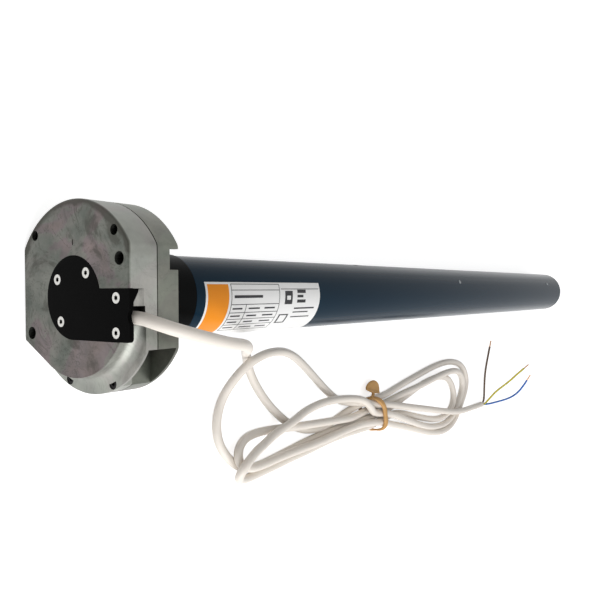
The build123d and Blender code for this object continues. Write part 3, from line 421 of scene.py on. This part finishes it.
def merged(surfaces):
    """One surface from several, each a pair of points and a list of arrays of faces."""
    points, faces, base = [], [], 0
    for part_points, part_faces in surfaces:
        points.append(part_points)
        faces += [rows + base for rows in part_faces]
        base += len(part_points)
    return np.concatenate(points), faces


def facing_out(made):
    """Recalculate closed shells' normals so that they point outwards."""
    edit = bmesh.new()
    edit.from_mesh(made.data)
    bmesh.ops.recalc_face_normals(edit, faces=edit.faces)
    edit.to_mesh(made.data)
    edit.free()


def grid_faces(rows, columns, close_rows=False, close_columns=False):
    """Quads of a grid whose points run along a row first."""
    r = np.arange(rows if close_rows else rows - 1)[:, None]
    c = np.arange(columns if close_columns else columns - 1)[None, :]
    r1, c1 = (r + 1) % rows, (c + 1) % columns
    return np.stack([r * columns + c, r * columns + c1, r1 * columns + c1, r1 * columns + c], -1).reshape(-1, 4)


def round_section(corners):
    """Unit circle, as columns of cosines and sines."""
    k = np.linspace(0, 2 * np.pi, corners, endpoint=False)
    return np.column_stack([np.cos(k), np.sin(k)])


def unit_rows(rows):
    """Each row divided by its own length."""
    return rows / np.linalg.norm(rows, axis=1)[:, None]


def swept(path, profile):
    """A closed profile carried along a path, both in metres, with closed ends: points, faces and UV.

    Each point is the path's point plus the profile's two sizes times two directions square to the path, the first of
    them as near to Z as it can be. U is the length along the path, V the part of the way round.
    """
    along = unit_rows(np.gradient(path, axis=0))
    first = unit_rows(np.array([0, 0, 1.0]) - along * along[:, 2:])
    second = np.cross(along, first)
    rings = path[:, None] + profile[:, :1] * first[:, None] + profile[:, 1:] * second[:, None]
    rows, columns = len(path), len(profile)
    points = np.concatenate([rings.reshape(-1, 3), path[:1], path[-1:]])
    k = np.arange(columns)
    following = (k + 1) % columns
    last = (rows - 1) * columns
    faces = [grid_faces(rows, columns, close_columns=True)[:, ::-1],
             np.column_stack([following, k, np.full(columns, rows * columns)]),
             np.column_stack([last + k, last + following, np.full(columns, rows * columns + 1)])]
    lengths = np.r_[0, np.cumsum(np.linalg.norm(np.diff(path, axis=0), axis=1))]
    uv = np.stack(np.broadcast_arrays(lengths[:, None], k[None, :] / columns), -1).reshape(-1, 2)
    return points, faces, np.concatenate([uv, [[0, 0], [lengths[-1], 0]]])


def cylinder_patch(radius, x_range, degrees, rows=24):
    """A patch of a cylinder round the motor's axis: X by angle, the angle being taken from Z towards Y."""
    x = np.linspace(*x_range, 2)[None, :]
    a = np.radians(np.linspace(*degrees, rows))[:, None]
    x, a = np.broadcast_arrays(x, a)
    points = np.stack([x, radius * np.sin(a), radius * np.cos(a)], -1).reshape(-1, 3) * MM
    return points, [grid_faces(rows, 2)]


def above_table(rows):
    """X, Y and height above the table to X, Y and Z: the table's plane rises evenly along X."""
    rows = np.asarray(rows, float)
    return np.column_stack([rows[:, 0], rows[:, 1], TABLE_Z + TABLE_RISE * rows[:, 0] + rows[:, 2]])


def spline_curve(name, route, diameter):
    """A round cord on a quadratic NURBS whose control points are the route's."""
    data = bpy.data.curves.new(name, "CURVE")
    data.dimensions = "3D"
    spline = data.splines.new("NURBS")
    spline.points.add(len(route) - 1)
    rows = np.column_stack([np.asarray(route, float) * MM, np.ones(len(route))])
    spline.points.foreach_set("co", rows.ravel())
    spline.order_u = 3
    spline.use_endpoint_u = True
    data.resolution_u = 10
    data.bevel_depth = diameter * MM / 2
    data.bevel_resolution = 8
    data.use_fill_caps = diameter > 0
    made = bpy.data.objects.new(name, data)
    bpy.context.scene.collection.objects.link(made)
    return made


def spline_points(route):
    """Points along the same NURBS, in metres, read from a curve that has no thickness."""
    bare = spline_curve("route_reader", route, 0.0)
    mesh = bpy.data.meshes.new_from_object(bare)
    rows = np.empty(len(mesh.vertices) * 3)
    mesh.vertices.foreach_get("co", rows)
    bpy.data.objects.remove(bare)
    bpy.data.meshes.remove(mesh)
    return rows.reshape(-1, 3)


def copper_strands(diameter):
    """Bared strands at the three cores' ends, six laid round a seventh, as bevelled lines. A line goes on from its
    core's end, and six of them turn about the core's axis like a helix. Three strands side by side make up the
    diameter, in metres, so a strand's middle is a third of it off the axis. The other sizes are millimetres."""
    length, overlap, twist = 9.0, 0.4, 2.2
    data = bpy.data.curves.new("copper_strands", "CURVE")
    data.dimensions = "3D"
    data.bevel_depth = diameter / 6
    data.bevel_resolution = 2
    data.use_fill_caps = True
    t = np.linspace(0, 1, 12)
    for route in (BROWN_ROUTE, GREEN_ROUTE, BLUE_ROUTE):
        end, before = np.array(route[-1], float), np.array(route[-2], float)
        along = (end - before) / np.linalg.norm(end - before)
        side = np.cross(along, (0, 0, 1.0))
        side /= np.linalg.norm(side)
        over = np.cross(side, along)
        middle = end + (t * length - overlap)[:, None] * along
        for k in range(7):
            off_axis = 0.0 if k == 6 else diameter / MM / 3
            angle = (k * np.pi / 3 + twist * t)[:, None]
            line = (middle + off_axis * (np.cos(angle) * side + np.sin(angle) * over)) * MM
            spline = data.splines.new("POLY")
            spline.points.add(len(line) - 1)
            spline.points.foreach_set("co", np.column_stack([line, np.ones(len(line))]).ravel())
    made = bpy.data.objects.new("copper_strands", data)
    bpy.context.scene.collection.objects.link(made)
    return made


def band_loop():
    """The band round the hank's strands. Its middle is a rounded oblong in Y and height, a circle whose cosine and
    sine are raised to a power, which leans along X as it goes over. Its section is an oval, thin under the hank."""
    middle_x, middle_y, middle_h = 361, -117.1, 8.0
    half_y, half_h, rounding = 16.4, 8.0, 0.66
    slant, lean = 6.5, 9.5
    half_width, waviness, thin, bulge = 3.0, 0.25, 0.8, 1.1
    t = np.linspace(0, 2 * np.pi, 120, endpoint=False)
    over = np.clip(np.sin(t), 0, 1)
    y = middle_y + half_y * np.sign(np.cos(t)) * np.abs(np.cos(t)) ** rounding
    h = middle_h + half_h * np.sign(np.sin(t)) * np.abs(np.sin(t)) ** rounding
    x = middle_x - slant * np.cos(t) + lean * np.sin(t)
    path = above_table(np.column_stack([x, y, h]))
    along = unit_rows(np.roll(path, -1, 0) - np.roll(path, 1, 0))
    outward = unit_rows(np.cross(along, (1.0, 0, 0)))
    side = np.cross(outward, along)
    section = round_section(16)
    wide = (half_width + waviness * np.sin(3 * t))[:, None] * section[:, 0]
    thick = (thin + bulge * over ** 0.5)[:, None] * section[:, 1]
    rings = path[:, None] + wide[..., None] * side[:, None] + thick[..., None] * outward[:, None]
    return (rings.reshape(-1, 3) * MM,
            [grid_faces(len(path), len(section), close_rows=True, close_columns=True)])


def band_fan():
    """The band's spare length, folded to a fan: an oval section carried from the hank's edge outwards, narrow along
    its stem and then as wide as a half disc's chord, rippled by three waves round the section."""
    s = np.linspace(0, 1, 48)
    middle = above_table(np.column_stack([
        np.interp(s, (0, 0.45, 1), (350.5, 362.5, 368.5)),
        np.interp(s, (0, 0.45, 1), (-102.5, -97, -85.4)),
        np.interp(s, (0, 0.3, 0.6, 1), (9.4, 8.8, 6.0, 5.0)) + 0.5 * np.sin(7 * s)]))
    disc_radius, disc_start = 13.0, 0.53
    disc = disc_radius * np.sqrt(np.clip(1 - ((s - disc_start) / 0.475) ** 2, 0, 1))
    stem = np.interp(s, (0, 0.45, 0.5, disc_start), (1.7, 2.3, 12.6, disc_radius))
    half = np.where(s < disc_start, stem, disc)[:, None]
    thick = 1.3 * np.sqrt(np.clip(1.02 - s ** 12, 0, 1))[:, None]
    k = np.linspace(0, 2 * np.pi, 16, endpoint=False)
    ripple = 0.5 * np.cos(3 * k) * half / 12.5
    crosswise = np.array([0.97, -0.24, 0.0])
    rings = (middle[:, None] + (half * np.cos(k))[..., None] * crosswise
             + (thick * np.sin(k) + ripple)[..., None] * np.array([0, 0, 1.0]))
    rows, columns = rings.shape[:2]
    first, last = np.arange(columns)[None, ::-1], np.arange((rows - 1) * columns, rows * columns)[None, :]
    return rings.reshape(-1, 3) * MM, [grid_faces(rows, columns, close_columns=True), first, last]


def label_fields():
    """Plain fields of the label as X range, angle range and print, which is field, ink, or film again over ink. Short
    plain bars of uneven length fill the cells of its table."""
    table_x, column_x, half_line = (97.3, 146.0), (97.3, 111.8, 145.6), 0.5
    rows = (17.4, 8.5, -12.5, -25.0, -36.0, -47.0, -60.0)
    fields = [((76.3, 95.2), (17.0, -110.0), "field")]
    fields += [(table_x, (at + half_line, at - half_line), "ink") for at in rows]
    fields += [((x, x + 0.5), (rows[2], rows[-1]), "ink") for x in column_x]
    fields += [((x, x + 0.5), (rows[0], rows[2]), "ink") for x in (column_x[0], column_x[-1])]
    fields += [((147.5, 192.0), (10.5, 9.5), "ink"), ((152.0, 160.5), (7.0, -14.0), "ink"),
               ((154.2, 158.4), (-0.5, -7.0), "film"), ((166.0, 176.0), (9.0, 3.5), "ink"),
               ((166.0, 173.0), (0.5, -3.5), "ink"), ((166.0, 176.0), (-7.0, -12.0), "ink"),
               ((149.5, 160.0), (-31.0, -33.0), "ink"), ((149.5, 160.0), (-47.0, -49.0), "ink"),
               ((149.5, 151.0), (-31.0, -49.0), "ink"), ((158.6, 160.0), (-31.0, -49.0), "ink"),
               ((164.0, 188.0), (-20.0, -22.5), "ink"), ((164.0, 182.0), (-27.0, -29.0), "ink"),
               ((164.0, 186.0), (-36.0, -38.0), "ink"), ((100.0, 128.0), (1.0, -3.0), "ink")]
    for top, lower in zip(rows[2:], rows[3:]):
        bar = ((top + lower) / 2 + 1.2, (top + lower) / 2 - 1.2)
        ends = ((99.5, 109.0 - 0.1 * (top % 7)), (115.0, 124.0 + 0.4 * (top % 9)), (131.0, 142.0))
        fields += [(x, bar, "ink") for x in ends]
    return fields


# Sizes and colours that a user may change
class BlindMotorFinish(bpy.types.PropertyGroup):
    tube_colour: bpy.props.StringProperty(
        name="Tube enamel", description="Colour of the tube's enamel, sRGB hex", default="#0a2334")
    jacket_colour: bpy.props.StringProperty(
        name="Cord jacket", description="Colour of the cord's outer sheath, sRGB hex", default="#e8e0d6")
    band_colour: bpy.props.StringProperty(
        name="Rubber band", description="Colour of the band round the hank, sRGB hex", default="#d2a466")
    label_colour: bpy.props.StringProperty(
        name="Label film", description="Ground colour of the label, sRGB hex", default="#eeeeed")
    field_colour: bpy.props.StringProperty(
        name="Label field", description="Colour of the plain field on the label, sRGB hex", default="#f2951f")


class BlindMotorCord(bpy.types.PropertyGroup):
    jacket: bpy.props.FloatProperty(
        name="Cord", description="Diameter of the supply cord", default=0.007, unit="LENGTH", subtype="DISTANCE")
    core: bpy.props.FloatProperty(
        name="Core", description="Diameter of each insulated core", default=0.0024, unit="LENGTH",
        subtype="DISTANCE")
    copper: bpy.props.FloatProperty(
        name="Copper", description="Diameter of the bared strands together", default=0.0015, unit="LENGTH",
        subtype="DISTANCE")


class BlindMotorStage(bpy.types.PropertyGroup):
    world_level: bpy.props.FloatProperty(
        name="Surroundings", description="Strength of the even light from all round", default=0.26, min=0.0)
    key_level: bpy.props.FloatProperty(
        name="Main light", description="Power of the large light beside the cord", default=14.5, unit="POWER")
    fill_level: bpy.props.FloatProperty(
        name="Fill light", description="Power of the light on the other side", default=0.6, unit="POWER")
    top_level: bpy.props.FloatProperty(
        name="Top light", description="Power of the light overhead", default=4.0, unit="POWER")


# Pieces
class BLINDMOTOR_OT_stage(bpy.types.Operator):
    """Camera, table, lights and surroundings"""
    bl_idname = "blindmotor.stage"
    bl_label = "Stage"

    def execute(self, context):
        values, scene = context.scene.blind_motor_stage, context.scene
        scene.view_settings.view_transform = "Standard"
        camera = bpy.data.objects.new("camera", bpy.data.cameras.new("camera"))
        camera.data.sensor_width = 36.0
        # Lens, place and turn are fitted to the view that the motor is shown from; the place is in metres
        camera.data.lens = 41.49
        camera.data.clip_start = 0.01
        camera.matrix_world = Matrix((
            (0.58632, 0.0193, -0.80985, -0.22979),
            (-0.00414, 0.99977, 0.02083, 0.00338),
            (0.81007, -0.00886, 0.58626, 0.31813),
            (0, 0, 0, 1)))
        scene.collection.objects.link(camera)
        scene.camera = camera
        scene.world = studio_world(values.world_level)

        near_x, far_x, side_y = -2500, 3500, 2500
        corners = [(near_x, -side_y, 0), (far_x, -side_y, 0), (far_x, side_y, 0), (near_x, side_y, 0)]
        table = new_mesh("table", above_table(corners) * MM, [np.array([[0, 1, 2, 3]])], smooth=False)
        table.data.materials.append(table_laminate())

        # Places, sizes and target are in metres
        target = Vector((0.3, -0.03, 0.0))
        for name, place, size, power in (
                ("key_light", (-0.2, -1.05, 0.5), 1.2, values.key_level),
                ("fill_light", (0.2, 1.1, 0.5), 1.2, values.fill_level),
                ("top_light", (0.35, 0.0, 1.3), 1.4, values.top_level)):
            lamp = bpy.data.lights.new(name, "AREA")
            lamp.shape = "SQUARE"
            lamp.size = size
            lamp.energy = power
            made = bpy.data.objects.new(name, lamp)
            made.location = place
            made.rotation_euler = (target - made.location).to_track_quat("-Z", "Y").to_euler()
            scene.collection.objects.link(made)
        return {"FINISHED"}


class BLINDMOTOR_OT_cord(bpy.types.Operator):
    """Supply cord with its hank, and the cores and bared strands at its end"""
    bl_idname = "blindmotor.cord"
    bl_label = "Cord"

    def execute(self, context):
        sizes, finish = context.scene.blind_motor_cord, context.scene.blind_motor_finish
        route = np.concatenate([CORD_FALL, above_table(CORD_HANK), CORD_LOOP, above_table(CORD_TAIL)])
        cord = spline_curve("supply_cord", route, sizes.jacket / MM)
        cord.data.materials.append(sheath_pvc(finish.jacket_colour))
        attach(cord, "head")
        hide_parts("power_cord", "cord_loop", "cord_hank", "cord_tail")

        # Even, soft-glossed brown and blue
        brown = moulding("Brown PVC insulation", "#54412f", "#68503f", 0.4, 0.8)
        blue = moulding("Blue PVC insulation", "#2463b8", "#2f74cc", 0.35, 0.8)
        for name, points, plastic, replaced, slot, length in (
                ("brown_core", BROWN_ROUTE, brown, "core_brown", "brown_core", 0.080),
                ("blue_core", BLUE_ROUTE, blue, "core_blue", "blue_core", 0.097)):
            core = spline_curve(name, points, sizes.core / MM)
            core.data.materials.append(plastic)
            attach(core, "head")
            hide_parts(replaced)

        path = spline_points(GREEN_ROUTE)
        points, faces, uv = swept(path, round_section(16) * sizes.core / 2)
        earth = new_mesh("green_core", points, faces, uv)
        facing_out(earth)
        earth.data.materials.append(striped_pvc())
        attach(earth, "head")
        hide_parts("core_green")

        made = copper_strands(sizes.copper)
        # Reddish metal, finely marked
        made.data.materials.append(metal("Tinned and bare copper strands", "#a0713f", "#cf9a66", 0.35, 0.2))
        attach(made, "head")
        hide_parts("copper_ends")
        return {"FINISHED"}


class BLINDMOTOR_OT_band(bpy.types.Operator):
    """Rubber band round the hank, with its spare length folded to a fan"""
    bl_idname = "blindmotor.band"
    bl_label = "Rubber band"

    def execute(self, context):
        loop = new_mesh("rubber_loop", *merged([band_loop(), band_fan()]))
        facing_out(loop)
        loop.data.materials.append(natural_rubber(context.scene.blind_motor_finish.band_colour))
        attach(loop, "head")
        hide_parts("rubber_band")
        return {"FINISHED"}


class BLINDMOTOR_OT_head(bpy.types.Operator):
    """Castings, cover, screws and gland of the head"""
    bl_idname = "blindmotor.head"
    bl_label = "Head"

    def execute(self, context):
        # Cloudy grey: stained, tinted and brown-rimmed in front, plainer behind
        dress(die_casting("Passivated front casting", ("#565855", "#7f7b79"), ("#848581", "#9fa09a"), 0.8),
              "head_front")
        dress(die_casting("Passivated rear casting", ("#636660", "#7c7e75"), ("#636660", "#7c7e75"), 0.0),
              "head_rear")
        # Matt black, almost without gloss
        dress(moulding("Black PBT moulding", "#030303", "#060606", 0.5, 0.5, shine=0.02), "cover")
        # Bright heads, with painted shade making their recesses black
        dress(screw_steel("Zinc plated cover screws", "#b3b2ae", "#d2d1cd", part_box("cover_screws")[0][0]),
              "cover_screws")
        # Near black, with a soft metal gloss
        dress(metal("Blackened steel", "#1b1b1b", "#2b2a2a", 0.45), "housing_screws", "neck_circlip")
        # Black with a faint sheen
        dress(moulding("Black nylon gland", "#0c0c0d", "#141415", 0.5, 0.4, shine=0.1), "cord_gland")
        # Satin cream
        dress(moulding("Natural PA66 moulding", "#cfcabd", "#dcd8cc", 0.45, 0.4), "mains_plug", "mains_socket")
        # Bright yellow
        dress(metal("Turned brass", "#a98a4c", "#c7a866", 0.3), "contacts")
        # Satin brown
        dress(moulding("Brown lead sleeve", "#6a3d22", "#7a4a2c", 0.4, 0.4), "inner_leads")
        return {"FINISHED"}


class BLINDMOTOR_OT_drive(bpy.types.Operator):
    """Idler ring, neck, override gearing, motor, brake and gearbox"""
    bl_idname = "blindmotor.drive"
    bl_label = "Ring and drive"

    def execute(self, context):
        planets = [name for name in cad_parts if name.startswith("planet_")]
        # Deep black with a smooth, weak gloss
        dress(moulding("Black nylon moulding", "#030404", "#070808", 0.36, 0.35, 0.1, 0.03),
              "idler_ring", "drive_dog", "end_plug")
        # Bright grey with a clear gloss
        dress(metal("Machined steel", "#8f8e8c", "#adacaa", 0.32), "crank_shaft", "rotor_shaft", "output_shaft",
              "first_carrier", "second_carrier", "rotor_bushes", "output_bush")
        # Pale grey with a wide, dull gloss
        dress(metal("Cast aluminium", "#8d8e90", "#a6a7a9", 0.45), "neck", "front_shield", "rear_shield",
              "brake_housing")
        # Satin ivory
        dress(moulding("Natural POM moulding", "#d8d5cb", "#e6e3da", 0.4, 0.4), "override_wheel", "limit_pinion",
              "gearbox_ring", "capacitor", "capacitor_holders", *planets)
        # Plain satin grey
        dress(moulding("Grey ABS moulding", "#8a8d90", "#989b9e", 0.45, 0.4), "limit_unit")
        # Satin brown
        dress(moulding("Brown lead sleeve for the motor", "#6a3d22", "#7a4a2c", 0.4, 0.4), "motor_leads")
        # Dark grey and dull
        dress(metal("Stacked electrical steel", "#56585b", "#6b6d70", 0.5), "stator_core", "rotor_core")
        # Reddish brown with a metal gloss
        dress(metal("Enamelled copper winding", "#8c4f2a", "#b06a3c", 0.4), "stator_windings", "brake_coil")
        # Dark and dry
        dress(moulding("Brake lining", "#2b2724", "#38332f", 0.8, 0.5), "brake_disc")
        return {"FINISHED"}


class BLINDMOTOR_OT_tube(bpy.types.Operator):
    """Enamelled tube with its stakes, and the label with its print"""
    bl_idname = "blindmotor.tube"
    bl_label = "Tube and label"

    def execute(self, context):
        finish = context.scene.blind_motor_finish
        dress(stoving_enamel(finish.tube_colour), "tube")
        # Bare grey steel where the enamel is broken
        dress(metal("Staked rivet heads", "#5d6266", "#8d9193", 0.4), "tube_rivets")
        # Smooth white with a soft gloss
        film = moulding("White polyester film", finish.label_colour, "#f6f6f5", 0.34, 1.5, 0.03, 0.25)
        dress(film, "label")

        # Flat, even inks with less gloss than the film
        prints = {"field": moulding("Printed orange field", finish.field_colour, "#ee8f1c", 0.36, 1.5, 0.03, 0.2),
                  "ink": moulding("Printed black ink", "#2a2a2c", "#3a3a3d", 0.4, 1.5, 0.03, 0.2),
                  "film": film}
        fields = label_fields()
        patches = [cylinder_patch(LABEL_RADIUS + PRINT_RISE[kind], x, degrees)
                   for x, degrees, kind in fields]
        art = new_mesh("label_print", *merged(patches))
        for finish_made in prints.values():
            art.data.materials.append(finish_made)
        kinds = [list(prints).index(kind) for _, _, kind in fields]
        faces_each = [len(faces[0]) for _, faces in patches]
        art.data.polygons.foreach_set("material_index", np.repeat(kinds, faces_each))
        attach(art, "motor")
        return {"FINISHED"}


class BLINDMOTOR_PT_panel(bpy.types.Panel):
    """The motor's sizes and colours, and its operators"""
    bl_label = "Blind motor"
    bl_idname = "BLINDMOTOR_PT_panel"
    bl_space_type = "VIEW_3D"
    bl_region_type = "UI"
    bl_category = "Blind motor"

    def draw(self, context):
        scene = context.scene
        for group in (scene.blind_motor_finish, scene.blind_motor_cord, scene.blind_motor_stage):
            for name in group.__annotations__:
                self.layout.prop(group, name)
        for operator in OPERATORS:
            self.layout.operator(operator.bl_idname)


GROUPS = (BlindMotorFinish, BlindMotorCord, BlindMotorStage)
OPERATORS = (BLINDMOTOR_OT_stage, BLINDMOTOR_OT_cord, BLINDMOTOR_OT_band, BLINDMOTOR_OT_head,
             BLINDMOTOR_OT_drive, BLINDMOTOR_OT_tube)


def register():
    for made in (*GROUPS, *OPERATORS, BLINDMOTOR_PT_panel):
        bpy.utils.register_class(made)
    bpy.types.Scene.blind_motor_finish = bpy.props.PointerProperty(type=BlindMotorFinish)
    bpy.types.Scene.blind_motor_cord = bpy.props.PointerProperty(type=BlindMotorCord)
    bpy.types.Scene.blind_motor_stage = bpy.props.PointerProperty(type=BlindMotorStage)


def unregister():
    del bpy.types.Scene.blind_motor_stage
    del bpy.types.Scene.blind_motor_cord
    del bpy.types.Scene.blind_motor_finish
    for made in (BLINDMOTOR_PT_panel, *reversed(OPERATORS), *reversed(GROUPS)):
        bpy.utils.unregister_class(made)


def main():
    register()
    bpy.ops.blindmotor.stage()
    bpy.ops.blindmotor.cord()
    bpy.ops.blindmotor.band()
    bpy.ops.blindmotor.head()
    bpy.ops.blindmotor.drive()
    bpy.ops.blindmotor.tube()


if __name__ == "__main__":
    main()
